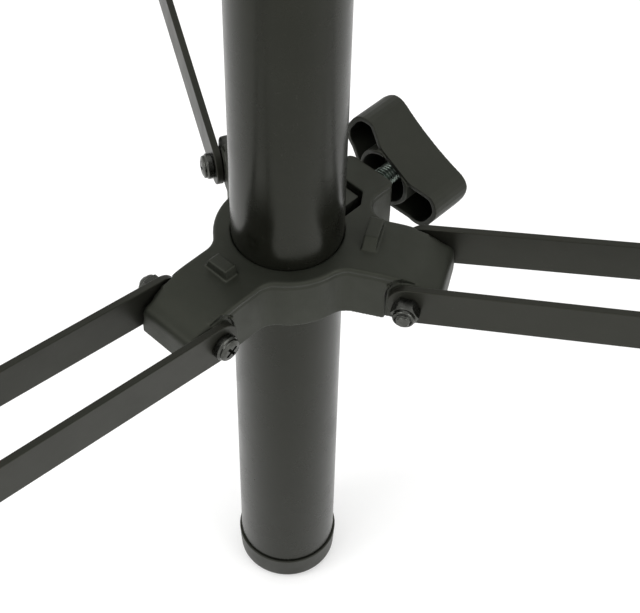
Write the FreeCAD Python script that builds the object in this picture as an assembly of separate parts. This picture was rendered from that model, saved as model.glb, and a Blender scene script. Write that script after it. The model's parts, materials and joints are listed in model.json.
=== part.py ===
import FreeCAD, Part
import math
import os

# Tripod stand for a loudspeaker. Millimetres, +Z up, floor at z = 0, column axis on Z.

# --- driving dimensions ---
COLUMN_R = 19.8
COLUMN_WALL = 1.3
COLUMN_TOP = 870.0
CAP_R = 20.7
CAP_HEIGHT = 13.8
CAP_GAP = 0.4

LEG_AZIMUTHS = {"left": 225.0, "right": 345.0, "back": 105.0}
KNOB_AZIMUTH = 45.0

COLLAR_TOP = 200.5
COLLAR_HEIGHT = 21.0
COLLAR_RING_R = 26.0
LUG_HALF_WIDTH = 13.0
LUG_NOSE_R = 57.8
LUG_NOSE_ROUND = 3.6
LUG_CROWN_START = 36.0
LUG_CROWN_DROP = 4.5
WEB_FILLET = 8.0
BRACE_PIVOT_R = 46.5
BRACE_PIVOT_Z = 190.7
BRACE_SLOPE = 8.38
BRACE_LENGTH = 340.0
BAR_WIDTH = 16.0
BAR_THICKNESS = 2.6
BAR_INNER_AT_COLLAR = 13.5
BAR_INNER_AT_LEG = 16.6
SCREW_R = 3.0
LUG_BOSS_R = 7.0
POCKET_MARGIN = 1.6
POCKET_DEPTH = 1.2
LUG_BOSS_LIFT = 0.1

BOSS_HALF_WIDTH = 10.6
BOSS_FACE = 41.0
PAD_SLOT_HALF = 10.0
PAD_SLOT_END = 31.5
PAD_SLOT_FLOOR = 3.0
PAD_BACK = 29.9
INSERT_WALL = 2.5
CLAMP_BOLT_Z = 190.5
BOLT_R = 3.92
INSERT_R = 6.5
KNOB_RIM = 50.0
KNOB_HALF_LENGTH = 24.3
KNOB_HALF_WIDTH = 10.0
KNOB_DEPTH = 21.3
KNOB_WALL = 2.0
KNOB_END_ROUND = 5.5
KNOB_CORNER = 6.0
KNOB_DISH = 1.6
KNOB_RING_R = 11.6
KNOB_RING_WALL = 1.5
KNOB_TURN = 29.0

HUB_PIVOT_R = 64.0
HUB_DROP = 70.0
HUB_RING_R = 29.0
EAR_INNER = 14.3
EAR_THICKNESS = 4.5
HUB_BOLT_R = 4.0

LEG_R = 14.0
LEG_WALL = 1.5
LEG_HEAD_LENGTH = 20.0
SADDLE_HALF_WIDTH = 14.9
SADDLE_LENGTH = 46.0
LEG_PIN_R = 4.0
FOOT_R = 17.5
FOOT_CENTRE_Z = 13.0

CLAMP_R = 27.0
CLAMP_LENGTH = 56.0
CLAMP_SOCKET = 24.0
POLE_R = 17.5
POLE_WALL = 1.5
POLE_BOTTOM = 60.0
POLE_FREE_END = 97.0
STOP_RING_R = 21.0
STOP_RING_HEIGHT = 8.0

GAP = 0.3
RUNNING = 0.08
RUNNING_WIDE = 0.09

# --- derived dimensions ---
HUB_PIVOT_Z = COLUMN_TOP - HUB_DROP
COLUMN_BORE_R = COLUMN_R - COLUMN_WALL
TUBE_BOTTOM = CAP_HEIGHT + CAP_GAP
COLLAR_BOTTOM = COLLAR_TOP - COLLAR_HEIGHT
BAR_SPLAY = math.degrees(math.atan2(BAR_INNER_AT_LEG - BAR_INNER_AT_COLLAR, BRACE_LENGTH))
LEG_PIVOT_R = BRACE_PIVOT_R + BRACE_LENGTH * math.cos(math.radians(BRACE_SLOPE))
LEG_PIVOT_Z = BRACE_PIVOT_Z + BRACE_LENGTH * math.sin(math.radians(BRACE_SLOPE))
LEG_REACH = math.hypot(LEG_PIVOT_R - HUB_PIVOT_R, HUB_PIVOT_Z - LEG_PIVOT_Z)
LEG_ANGLE = math.degrees(math.atan2(LEG_PIVOT_R - HUB_PIVOT_R, HUB_PIVOT_Z - LEG_PIVOT_Z))
FOOT_CENTRE = (HUB_PIVOT_Z - FOOT_CENTRE_Z) / math.cos(math.radians(LEG_ANGLE))
CLAMP_BOTTOM = COLUMN_TOP - CLAMP_SOCKET
CLAMP_TOP = CLAMP_BOTTOM + CLAMP_LENGTH
CLAMP_KNOB_Z = 0.5 * (COLUMN_TOP + CLAMP_TOP)
STOP_RING_BOTTOM = CLAMP_TOP + GAP
POLE_TOP = STOP_RING_BOTTOM + STOP_RING_HEIGHT + POLE_FREE_END

X = FreeCAD.Vector(1, 0, 0)
Y = FreeCAD.Vector(0, 1, 0)
Z = FreeCAD.Vector(0, 0, 1)


def vec(x, y, z):
    return FreeCAD.Vector(x, y, z)


def box(x0, x1, y0, y1, z0, z1):
    return Part.makeBox(x1 - x0, y1 - y0, z1 - z0, vec(x0, y0, z0))


def rod(radius, start, end):
    axis = end - start
    return Part.makeCylinder(radius, axis.Length, start, axis)


def cross_rod(radius, x, z, y0, y1):
    """Rod across a leg's plane, parallel to its hinges."""
    return rod(radius, vec(x, y0, z), vec(x, y1, z))


def hexagon(across_flats, start, end):
    """Six-sided prism between two points."""
    axis = end - start
    corner = across_flats / math.sqrt(3)
    ring = [vec(corner * math.cos(math.radians(60 * i)), corner * math.sin(math.radians(60 * i)), 0)
            for i in range(7)]
    prism = Part.Face(Part.makePolygon(ring)).extrude(Z * axis.Length)
    prism.Placement = FreeCAD.Placement(start, FreeCAD.Rotation(Z, axis))
    return prism


def lathe(points):
    """Solid of revolution about Z from (radius, z) corners."""
    wire = Part.makePolygon([vec(r, 0, z) for r, z in points + points[:1]])
    return Part.Face(wire).revolve(vec(0, 0, 0), Z, 360)


def side_plate(points, half_width):
    """Plate cut to an (x, z) outline, centred on y = 0."""
    wire = Part.makePolygon([vec(x, -half_width, z) for x, z in points + points[:1]])
    return Part.Face(wire).extrude(Y * (2 * half_width))


def soften(solid, radius, picks):
    """Fillet the edges whose middle passes the test."""
    edges = []
    for edge in solid.Edges:
        middle = edge.valueAt(0.5 * (edge.FirstParameter + edge.LastParameter))
        if picks(edge, middle):
            edges.append(edge)
    return solid.makeFillet(radius, edges)


def turned(solid, azimuth):
    out = solid.copy()
    out.rotate(vec(0, 0, 0), Z, azimuth)
    return out


def around_legs(solid):
    """One copy at each leg azimuth, as one group."""
    return Part.makeCompound([turned(solid, a) for a in LEG_AZIMUTHS.values()])


def save(name, shape):
    os.makedirs("parts", exist_ok=True)
    shape.exportStep("parts/" + name + ".step")


# --- column ---
def column_tube():
    height = COLUMN_TOP - TUBE_BOTTOM
    outer = Part.makeCylinder(COLUMN_R, height, vec(0, 0, TUBE_BOTTOM))
    return outer.cut(Part.makeCylinder(COLUMN_BORE_R, height, vec(0, 0, TUBE_BOTTOM)))


def column_end_cap():
    """Cap a little wider than the tube, tapered to a rounded base, on a plug."""
    return lathe([(0, 0), (CAP_R - 2.6, 0), (CAP_R - 1.2, 0.9), (CAP_R - 0.5, 3), (CAP_R, CAP_HEIGHT),
                  (COLUMN_BORE_R, CAP_HEIGHT), (COLUMN_BORE_R, TUBE_BOTTOM + 14), (0, TUBE_BOTTOM + 14)])


# --- brace collar ---
def lug_blank():
    """Lug along +X: flat at the root, a long crown, a rounded nose and a chamfer under it."""
    shoulder = LUG_NOSE_R - LUG_NOSE_ROUND
    low = COLLAR_TOP - LUG_CROWN_DROP
    run = shoulder - LUG_CROWN_START
    radius = (run * run + LUG_CROWN_DROP * LUG_CROWN_DROP) / (2 * LUG_CROWN_DROP)
    sweep = math.asin(run / radius)
    start = vec(LUG_CROWN_START, 0, COLLAR_TOP)
    middle = vec(LUG_CROWN_START + radius * math.sin(sweep / 2), 0,
                 COLLAR_TOP - radius * (1 - math.cos(sweep / 2)))
    crown = Part.Arc(start, middle, vec(shoulder, 0, low)).toShape()
    nose_low = vec(LUG_NOSE_R, 0, low - LUG_NOSE_ROUND)
    slant = LUG_NOSE_ROUND * math.sqrt(0.5)
    nose = Part.Arc(vec(shoulder, 0, low), vec(shoulder + slant, 0, low - LUG_NOSE_ROUND + slant),
                    nose_low).toShape()
    corners = [nose_low, vec(LUG_NOSE_R, 0, COLLAR_BOTTOM + 4.5), vec(LUG_NOSE_R - 3, 0, COLLAR_BOTTOM),
               vec(0, 0, COLLAR_BOTTOM), vec(0, 0, COLLAR_TOP), start]
    wire = Part.Wire([crown, nose] + Part.makePolygon(corners).Edges)
    blank = Part.Face(wire).extrude(Y * (2 * LUG_HALF_WIDTH))
    blank.translate(Y * -LUG_HALF_WIDTH)
    return blank


def web(centre, tangent_a, tangent_b, inner):
    """Concave fillet of the plan view: a plate cut back by a round of WEB_FILLET."""
    corners = [vec(x, y, COLLAR_BOTTOM) for x, y in (inner, tangent_a, centre, tangent_b, inner)]
    plate = Part.Face(Part.makePolygon(corners)).extrude(Z * COLLAR_HEIGHT)
    cutter = Part.makeCylinder(WEB_FILLET, COLLAR_HEIGHT + 2, vec(centre[0], centre[1], COLLAR_BOTTOM - 1))
    return plate.cut(cutter)


def ring_web(side):
    """Fillet between the ring and one side of a lug that lies along +X."""
    offset = LUG_HALF_WIDTH + WEB_FILLET
    reach = COLLAR_RING_R + WEB_FILLET
    along = math.sqrt(reach * reach - offset * offset)
    share = COLLAR_RING_R / reach
    inner = (0.72 * along, side * (LUG_HALF_WIDTH - 2))
    return web((along, side * offset), (share * along, side * share * offset),
               (along, side * LUG_HALF_WIDTH), inner)


def boss_web(side):
    """Fillet between the clamp boss along +X and the lug 60 degrees to its side."""
    c = math.cos(math.radians(60))
    s = math.sin(math.radians(60))
    root = (BOSS_HALF_WIDTH + LUG_HALF_WIDTH * c) / s
    corner_x = root * c + LUG_HALF_WIDTH * s
    run = WEB_FILLET / math.tan(math.radians(30))
    centre = (corner_x + run, side * (BOSS_HALF_WIDTH + WEB_FILLET))
    on_boss = (corner_x + run, side * BOSS_HALF_WIDTH)
    on_lug = (corner_x + run * c, side * (BOSS_HALF_WIDTH + run * s))
    return web(centre, on_boss, on_lug, (corner_x - 4, side * (BOSS_HALF_WIDTH - 3)))


def collar_blank():
    body = Part.makeCylinder(COLLAR_RING_R, COLLAR_HEIGHT, vec(0, 0, COLLAR_BOTTOM))
    for azimuth in LEG_AZIMUTHS.values():
        body = body.fuse(turned(lug_blank(), azimuth))
    boss = box(0, BOSS_FACE, -BOSS_HALF_WIDTH, BOSS_HALF_WIDTH, COLLAR_BOTTOM, COLLAR_TOP)
    body = body.fuse(turned(boss, KNOB_AZIMUTH))
    for side in (-1, 1):
        body = body.fuse(turned(boss_web(side), KNOB_AZIMUTH))
        body = body.fuse(turned(ring_web(side), LEG_AZIMUTHS["left"]))
    body = body.fuse(turned(ring_web(-1), LEG_AZIMUTHS["right"]))
    body = body.fuse(turned(ring_web(1), LEG_AZIMUTHS["back"]))
    return body.removeSplitter()


def on_collar_top(edge, middle):
    """Outer edges of the collar's flat top and of the lugs' crowns."""
    radius = math.hypot(middle.x, middle.y)
    if radius < COLLAR_RING_R - 1:
        return False
    if radius < LUG_CROWN_START:
        return middle.z > COLLAR_TOP - 0.01
    if middle.z > COLLAR_TOP - 0.01:
        return abs(edge.BoundBox.ZLength) < 0.01 and edge.Length > 0.01
    return middle.z > COLLAR_TOP - LUG_CROWN_DROP - LUG_NOSE_ROUND and edge.BoundBox.ZLength > 0.5


def lug_pocket(side):
    """Recess for a bar's rounded end: a lip above, open outwards and downwards."""
    radius = BAR_WIDTH / 2 + POCKET_MARGIN
    inner = LUG_HALF_WIDTH - POCKET_DEPTH
    outer = LUG_HALF_WIDTH + 5
    y0, y1 = (inner, outer) if side > 0 else (-outer, -inner)
    pivot = vec(BRACE_PIVOT_R, 0, BRACE_PIVOT_Z)
    disc = rod(radius, pivot + Y * y0, pivot + Y * y1)
    below = box(BRACE_PIVOT_R - radius, LUG_NOSE_R + 5, y0, y1, COLLAR_BOTTOM - 1, BRACE_PIVOT_Z)
    beyond = box(BRACE_PIVOT_R, LUG_NOSE_R + 15, y0, y1, BRACE_PIVOT_Z - 4, BRACE_PIVOT_Z + radius)
    beyond.rotate(pivot, Y, -BRACE_SLOPE)
    rim = LUG_HALF_WIDTH + LUG_BOSS_LIFT
    b0, b1 = (inner - 1, rim) if side > 0 else (-rim, 1 - inner)
    boss = rod(LUG_BOSS_R, pivot + Y * b0, pivot + Y * b1)
    return disc.fuse([below, beyond]), boss


def rib(azimuth, start, end, slope_start, slope_end):
    """Raised stop rib across a lug's root; either end may be ramped."""
    outline = [(start, COLLAR_TOP - 1), (start, COLLAR_TOP), (start + slope_start, COLLAR_TOP + 3.6),
               (end - slope_end, COLLAR_TOP + 3.6), (end, COLLAR_TOP), (end, COLLAR_TOP - 1)]
    bar = side_plate(outline, 2.5)
    bar.rotate(vec(0, 0, 0), Z, 90)
    bar.translate(X * 29.6)
    return turned(bar, azimuth)


def pad_slot(floor_z, top_z):
    """Slot for the pressure pad between the bore and the boss wall, with cut corners."""
    outline = [(COLUMN_R - 6, -PAD_SLOT_HALF), (PAD_SLOT_END - 5.1, -PAD_SLOT_HALF),
               (PAD_SLOT_END, -PAD_SLOT_HALF + 3.8), (PAD_SLOT_END, PAD_SLOT_HALF - 3.8),
               (PAD_SLOT_END - 5.1, PAD_SLOT_HALF), (COLUMN_R - 6, PAD_SLOT_HALF)]
    corners = [vec(x, y, floor_z) for x, y in outline + outline[:1]]
    return Part.Face(Part.makePolygon(corners)).extrude(Z * (top_z - floor_z))


def insert_bore(z):
    """Bolt hole through the slot's wall, opened out for the threaded insert."""
    hole = rod(BOLT_R + GAP, vec(PAD_SLOT_END - 1, 0, z), vec(BOSS_FACE, 0, z))
    return hole.fuse(rod(INSERT_R, vec(PAD_SLOT_END + INSERT_WALL, 0, z), vec(BOSS_FACE + 1, 0, z)))


def brace_collar():
    body = soften(collar_blank(), 1.2, on_collar_top)
    for azimuth in LEG_AZIMUTHS.values():
        for side in (-1, 1):
            pocket, boss = lug_pocket(side)
            body = body.cut(turned(pocket, azimuth)).fuse(turned(boss, azimuth))
        body = body.cut(turned(cross_rod(SCREW_R + 0.1, BRACE_PIVOT_R, BRACE_PIVOT_Z, -30, 30), azimuth))
    body = body.fuse(rib(LEG_AZIMUTHS["left"], -8.5, 3.2, 0.3, 1.0))
    body = body.fuse(rib(LEG_AZIMUTHS["right"], -3.6, 10.2, 4.0, 0.3))
    body = body.fuse(rib(LEG_AZIMUTHS["back"], -10.2, 3.6, 0.3, 4.0))
    bore = Part.makeCylinder(COLUMN_R + RUNNING_WIDE, COLLAR_HEIGHT + 20, vec(0, 0, COLLAR_BOTTOM - 5))
    slot = pad_slot(COLLAR_BOTTOM + PAD_SLOT_FLOOR, COLLAR_TOP + 1)
    body = body.cut(bore)
    body = body.cut(turned(slot.fuse(insert_bore(CLAMP_BOLT_Z)), KNOB_AZIMUTH))
    return body.removeSplitter()


def pan_head(radius, height):
    """Screw head with a sloped crown, standing on z = 0."""
    return lathe([(0, 0), (radius, 0), (radius, 0.5 * height), (0.6 * radius, height), (0, height)])


def collar_pivot_screws():
    """Pan-head screw through each lug and its pair of bars."""
    seat = BAR_INNER_AT_COLLAR + BAR_THICKNESS + GAP
    head = pan_head(5.1, 4.2)
    head.rotate(vec(0, 0, 0), X, -90)
    head.translate(vec(BRACE_PIVOT_R, seat, BRACE_PIVOT_Z))
    shank = cross_rod(SCREW_R, BRACE_PIVOT_R, BRACE_PIVOT_Z, -seat - 7.2, seat + 1)
    return around_legs(head.fuse(shank))


def lock_nut(across_flats, bore_r):
    """Hex lock nut standing on z = 0."""
    nut = hexagon(across_flats, vec(0, 0, 0), vec(0, 0, 6))
    return nut.cut(Part.makeCylinder(bore_r, 8, vec(0, 0, -1)))


def collar_pivot_nuts():
    nut = lock_nut(10.0, SCREW_R)
    nut.rotate(vec(0, 0, 0), X, 90)
    nut.translate(vec(BRACE_PIVOT_R, -(BAR_INNER_AT_COLLAR + BAR_THICKNESS + GAP), BRACE_PIVOT_Z))
    return around_legs(nut)


# --- clamp knob, pad and threaded insert: built along +X at a given height ---
def thread_insert(z):
    start = PAD_SLOT_END + INSERT_WALL
    sleeve = rod(INSERT_R, vec(start, 0, z), vec(BOSS_FACE - 0.5, 0, z))
    return sleeve.cut(rod(BOLT_R + RUNNING, vec(start - 1, 0, z), vec(BOSS_FACE + 1, 0, z)))


def pressure_pad(tube_r, bottom, top):
    """Curved shoe with cut corners that the bolt presses against a tube."""
    half = PAD_SLOT_HALF - GAP
    outline = [(tube_r - 6, -half), (PAD_BACK - 5, -half), (PAD_BACK, 3.8 - half), (PAD_BACK, half - 3.8),
               (PAD_BACK - 5, half), (tube_r - 6, half)]
    corners = [vec(x, y, bottom) for x, y in outline + outline[:1]]
    shoe = Part.Face(Part.makePolygon(corners)).extrude(Z * (top - bottom))
    return shoe.cut(Part.makeCylinder(tube_r + GAP, top - bottom + 2, vec(0, 0, bottom - 1)))


def knob_block(shrink, depth_start):
    """Knob outline: flared wings with rounded ends and a dished outer face."""
    half = KNOB_HALF_LENGTH - shrink
    wide = KNOB_HALF_WIDTH - shrink
    deep = KNOB_DEPTH - shrink
    round_r = KNOB_CORNER - 0.5 * shrink
    bite = round_r * (1 - math.sqrt(0.5))
    side = [(depth_start, 8.5), (depth_start + 3.5, 17.5), (depth_start + 3.5, half), (deep - round_r, half)]
    edges = []
    for s in (-1, 1):
        points = [vec(x, s * y, 0) for x, y in side]
        shoulder = vec(deep, s * (half - round_r), 0)
        edges += Part.makePolygon(points).Edges
        edges.append(Part.Arc(points[-1], vec(deep - bite, s * (half - bite), 0), shoulder).toShape())
    ends = [vec(deep, s * (half - round_r), 0) for s in (-1, 1)]
    edges.append(Part.Arc(ends[0], vec(deep - KNOB_DISH, 0, 0), ends[1]).toShape())
    edges += Part.makePolygon([vec(depth_start, -8.5, 0), vec(depth_start, 8.5, 0)]).Edges
    block = Part.Face(Part.Wire(Part.__sortEdges__(edges))).extrude(Z * (2 * wide))
    block.translate(Z * -wide)
    plan = box(-5, KNOB_DEPTH + 5, -half, half, -wide, wide)
    return block.common(soften(plan, KNOB_END_ROUND - shrink, lambda e, m: e.BoundBox.XLength > 20))


def knob_shell():
    """Hollow moulding, open towards the column, with a thin ring round the bolt's stem."""
    outer = knob_block(0, 0)
    shell = outer.cut(knob_block(KNOB_WALL, -4.0))
    back = KNOB_DEPTH - KNOB_WALL
    ring = rod(KNOB_RING_R, vec(2, 0, 0), vec(back, 0, 0))
    ring = ring.cut(rod(KNOB_RING_R - KNOB_RING_WALL, vec(1, 0, 0), vec(back, 0, 0)))
    stem = rod(6.5, vec(7, 0, 0), vec(back, 0, 0))
    return shell.fuse(ring.fuse(stem).common(outer)).removeSplitter()


def clamp_knob(z):
    body = knob_shell().cut(rod(BOLT_R, vec(-1, 0, 0), vec(KNOB_DEPTH - 5, 0, 0)))
    body.rotate(vec(0, 0, 0), X, KNOB_TURN)
    body.translate(vec(KNOB_RIM, 0, z))
    return body


def clamp_bolt(z):
    tip = PAD_BACK + GAP
    return rod(BOLT_R, vec(tip, 0, z), vec(KNOB_RIM + KNOB_DEPTH - 5, 0, z))


# --- braces ---
def bar_frame(solid, side):
    """Places a bar-end shape, built flat along +X, on one side of the brace."""
    solid.rotate(vec(0, 0, 0), Z, side * BAR_SPLAY)
    solid.translate(Y * (side * BAR_INNER_AT_COLLAR))
    solid.rotate(vec(0, 0, 0), Y, -BRACE_SLOPE)
    solid.translate(vec(BRACE_PIVOT_R, 0, BRACE_PIVOT_Z))
    return solid


def brace_bar(side):
    y0 = 0 if side > 0 else -BAR_THICKNESS
    half = BAR_WIDTH / 2
    bar = box(0, BRACE_LENGTH, y0, y0 + BAR_THICKNESS, -half, half)
    for x in (0, BRACE_LENGTH):
        bar = bar.fuse(rod(half, vec(x, y0, 0), vec(x, y0 + BAR_THICKNESS, 0)))
    bar = bar.removeSplitter()
    for x in (0, BRACE_LENGTH):
        bar = bar.cut(rod(SCREW_R + RUNNING, vec(x, -5, 0), vec(x, 5, 0)))
    return bar_frame(bar, side)


def outer_rivet(side):
    """Short pivot bolt at the leg end: hex head outside the bar and a spacing washer inside."""
    inner = vec(BRACE_LENGTH, side * -1.05, 0)
    seat = vec(BRACE_LENGTH, side * BAR_THICKNESS, 0)
    rivet = rod(5.5, inner, vec(BRACE_LENGTH, 0, 0)).fuse(rod(SCREW_R, inner, seat))
    return bar_frame(rivet.fuse(hexagon(10.0, seat, seat + Y * (side * 3.6))), side)


# --- legs: built along -Z from the hub pivot, then swung out ---
def leg_frame(solid, azimuth):
    solid.rotate(vec(0, 0, 0), Y, -LEG_ANGLE)
    solid.translate(vec(HUB_PIVOT_R, 0, HUB_PIVOT_Z))
    return turned(solid, azimuth)


def leg_tube():
    end = FOOT_CENTRE - 4
    tube = Part.makeCylinder(LEG_R, end - LEG_HEAD_LENGTH, vec(0, 0, -end))
    tube = tube.cut(Part.makeCylinder(LEG_R - LEG_WALL, end, vec(0, 0, -end - 1)))
    return tube.cut(rod(LEG_PIN_R, vec(0, -20, -LEG_REACH), vec(0, 20, -LEG_REACH)))


def leg_head():
    radius = LEG_R - 0.1
    head = lathe([(0, -LEG_HEAD_LENGTH), (radius, -LEG_HEAD_LENGTH), (radius, 4), (8.5, 12.5), (0, 12.5)])
    return head.cut(rod(HUB_BOLT_R + RUNNING, vec(0, -20, 0), vec(0, 20, 0)))


def leg_saddle():
    """Sleeve on the leg with flat cheeks for the brace bars."""
    half = SADDLE_LENGTH / 2
    sleeve = Part.makeCylinder(LEG_R + 3.2, SADDLE_LENGTH, vec(0, 0, -LEG_REACH - half))
    cheeks = box(-30, 30, -SADDLE_HALF_WIDTH, SADDLE_HALF_WIDTH, -LEG_REACH - half, -LEG_REACH + half)
    saddle = sleeve.common(cheeks)
    saddle = saddle.cut(Part.makeCylinder(LEG_R, SADDLE_LENGTH + 2, vec(0, 0, -LEG_REACH - half - 1)))
    return saddle.cut(rod(LEG_PIN_R, vec(0, -20, -LEG_REACH), vec(0, 20, -LEG_REACH)))


def leg_pin():
    return rod(LEG_PIN_R, vec(0, -SADDLE_HALF_WIDTH, -LEG_REACH), vec(0, SADDLE_HALF_WIDTH, -LEG_REACH))


def leg_foot(azimuth):
    """Rubber boot with a tapered end, worn flat on the floor."""
    boot = lathe([(0, -FOOT_R), (8, -15.6), (14.6, -9.6), (FOOT_R, 0), (FOOT_R, 43), (FOOT_R - 2, 46),
                  (LEG_R, 46), (LEG_R, 4), (0, 4)])
    boot.translate(Z * -FOOT_CENTRE)
    boot = leg_frame(boot, azimuth)
    return boot.cut(box(-900, 900, -900, 900, -50, 0))


# --- leg hub ---
def hub_ear(side):
    outline = [(20, HUB_PIVOT_Z + 20), (HUB_PIVOT_R + 16, HUB_PIVOT_Z + 20),
               (HUB_PIVOT_R + 16, HUB_PIVOT_Z - 12), (HUB_PIVOT_R - 2, HUB_PIVOT_Z - 16),
               (20, HUB_PIVOT_Z - 26)]
    ear = side_plate(outline, EAR_THICKNESS / 2)
    ear = soften(ear, 11.0, lambda e, m: m.x > HUB_PIVOT_R + 15.9 and e.BoundBox.YLength > 4)
    ear.translate(Y * (side * (EAR_INNER + EAR_THICKNESS / 2)))
    return ear


def leg_hub():
    bottom = HUB_PIVOT_Z - 26
    hub = Part.makeCylinder(HUB_RING_R, 46, vec(0, 0, bottom))
    arm = box(20, HUB_PIVOT_R + 5, -EAR_INNER - 1, EAR_INNER + 1, HUB_PIVOT_Z + 16, HUB_PIVOT_Z + 20)
    arm = arm.fuse([hub_ear(-1), hub_ear(1)])
    for azimuth in LEG_AZIMUTHS.values():
        hub = hub.fuse(turned(arm, azimuth))
    hub = hub.cut(Part.makeCylinder(COLUMN_R, 60, vec(0, 0, bottom - 5)))
    for azimuth in LEG_AZIMUTHS.values():
        hub = hub.cut(turned(cross_rod(HUB_BOLT_R + 0.1, HUB_PIVOT_R, HUB_PIVOT_Z, -30, 30), azimuth))
        hub = hub.cut(turned(rod(3.1, vec(15, 0, bottom + 8), vec(40, 0, bottom + 8)), azimuth + 60))
    return hub.removeSplitter()


def hub_bolts():
    seat = EAR_INNER + EAR_THICKNESS
    shank = cross_rod(HUB_BOLT_R, HUB_PIVOT_R, HUB_PIVOT_Z, -seat - 7.5, seat + 1)
    head = hexagon(13.0, vec(HUB_PIVOT_R, seat, HUB_PIVOT_Z), vec(HUB_PIVOT_R, seat + 5.3, HUB_PIVOT_Z))
    return around_legs(shank.fuse(head))


def hub_nuts():
    nut = lock_nut(13.0, HUB_BOLT_R)
    nut.rotate(vec(0, 0, 0), X, 90)
    nut.translate(vec(HUB_PIVOT_R, -EAR_INNER - EAR_THICKNESS, HUB_PIVOT_Z))
    return around_legs(nut)


def hub_set_screws():
    z = HUB_PIVOT_Z - 18
    screw = rod(3.0, vec(COLUMN_R, 0, z), vec(HUB_RING_R - 0.6, 0, z))
    screw = screw.cut(hexagon(3.0, vec(HUB_RING_R - 3, 0, z), vec(HUB_RING_R + 1, 0, z)))
    return Part.makeCompound([turned(screw, a + 60) for a in LEG_AZIMUTHS.values()])


# --- pole clamp and pole ---
def pole_clamp():
    body = lathe([(0, CLAMP_BOTTOM), (CLAMP_R, CLAMP_BOTTOM), (CLAMP_R, CLAMP_TOP - 2.5),
                  (CLAMP_R - 2.5, CLAMP_TOP), (0, CLAMP_TOP)])
    half = BOSS_HALF_WIDTH + 1.5
    boss = box(0, BOSS_FACE, -half, half, CLAMP_KNOB_Z - 13, CLAMP_TOP - 3)
    body = body.fuse(turned(boss, KNOB_AZIMUTH))
    body = body.cut(Part.makeCylinder(COLUMN_R, CLAMP_SOCKET + 1, vec(0, 0, CLAMP_BOTTOM - 1)))
    body = body.cut(Part.makeCylinder(POLE_R + RUNNING, 80, vec(0, 0, CLAMP_BOTTOM)))
    slot = pad_slot(CLAMP_KNOB_Z - 9, CLAMP_KNOB_Z + 9).fuse(insert_bore(CLAMP_KNOB_Z))
    return body.cut(turned(slot, KNOB_AZIMUTH)).removeSplitter()


def pole_tube():
    height = POLE_TOP - POLE_BOTTOM
    tube = Part.makeCylinder(POLE_R, height, vec(0, 0, POLE_BOTTOM))
    tube = tube.cut(Part.makeCylinder(POLE_R - POLE_WALL, height + 2, vec(0, 0, POLE_BOTTOM - 1)))
    groove = Part.makeCylinder(POLE_R + 1, STOP_RING_HEIGHT, vec(0, 0, STOP_RING_BOTTOM))
    groove = groove.cut(Part.makeCylinder(POLE_R - 0.5, STOP_RING_HEIGHT, vec(0, 0, STOP_RING_BOTTOM)))
    return tube.cut(groove)


def pole_stop_ring():
    top = STOP_RING_BOTTOM + STOP_RING_HEIGHT
    bore = POLE_R - 0.5
    return lathe([(bore, STOP_RING_BOTTOM), (STOP_RING_R, STOP_RING_BOTTOM), (STOP_RING_R, top - 1.5),
                  (STOP_RING_R - 1.5, top), (bore, top)])


def pole_bush():
    """Nylon guide in the pole's lower end: the pole turns on its spigot and it runs in the column."""
    guide = COLUMN_BORE_R - RUNNING
    spigot = POLE_R - POLE_WALL - RUNNING
    seat = POLE_BOTTOM - GAP
    return lathe([(0, seat - 22), (guide, seat - 22), (guide, seat), (spigot, seat), (spigot, seat + 18),
                  (0, seat + 18)])


def pole_cap():
    spigot = POLE_R - POLE_WALL
    rim = POLE_R - 0.4
    return lathe([(0, POLE_TOP - 15), (spigot, POLE_TOP - 15), (spigot, POLE_TOP), (rim, POLE_TOP),
                  (rim, POLE_TOP + 2), (rim - 2.5, POLE_TOP + 4.5), (0, POLE_TOP + 4.5)])


def at_knob(shape):
    return turned(shape, KNOB_AZIMUTH)


save("column_tube", column_tube())
save("column_end_cap", column_end_cap())
save("leg_hub", leg_hub())
save("leg_hub_bolts", hub_bolts())
save("leg_hub_nuts", hub_nuts())
save("leg_hub_set_screws", hub_set_screws())
save("pole_clamp", pole_clamp())
save("pole_clamp_insert", at_knob(thread_insert(CLAMP_KNOB_Z)))
save("pole_clamp_pad", at_knob(pressure_pad(POLE_R, CLAMP_KNOB_Z - 9 + GAP, CLAMP_KNOB_Z + 9 - GAP)))
save("pole_clamp_knob", at_knob(clamp_knob(CLAMP_KNOB_Z)))
save("pole_clamp_bolt", at_knob(clamp_bolt(CLAMP_KNOB_Z)))
save("pole_tube", pole_tube())
save("pole_stop_ring", pole_stop_ring())
save("pole_bush", pole_bush())
save("pole_cap", pole_cap())
save("brace_collar", brace_collar())
save("collar_pivot_screws", collar_pivot_screws())
save("collar_pivot_nuts", collar_pivot_nuts())
save("collar_insert", at_knob(thread_insert(CLAMP_BOLT_Z)))
save("collar_pad", at_knob(pressure_pad(COLUMN_R, COLLAR_BOTTOM + PAD_SLOT_FLOOR + GAP, COLLAR_TOP - 1.5)))
save("collar_knob", at_knob(clamp_knob(CLAMP_BOLT_Z)))
save("collar_knob_bolt", at_knob(clamp_bolt(CLAMP_BOLT_Z)))
for leg, azimuth in LEG_AZIMUTHS.items():
    save("brace_" + leg + "_bar_a", turned(brace_bar(1), azimuth))
    save("brace_" + leg + "_bar_b", turned(brace_bar(-1), azimuth))
    save("brace_" + leg + "_rivets", turned(Part.makeCompound([outer_rivet(1), outer_rivet(-1)]), azimuth))
    save("leg_" + leg + "_tube", leg_frame(leg_tube(), azimuth))
    save("leg_" + leg + "_head", leg_frame(leg_head(), azimuth))
    save("leg_" + leg + "_saddle", leg_frame(leg_saddle(), azimuth))
    save("leg_" + leg + "_pin", leg_frame(leg_pin(), azimuth))
    save("leg_" + leg + "_foot", leg_foot(azimuth))
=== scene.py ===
import bpy
import bmesh
import json
import math
from mathutils import Matrix, Vector


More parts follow.
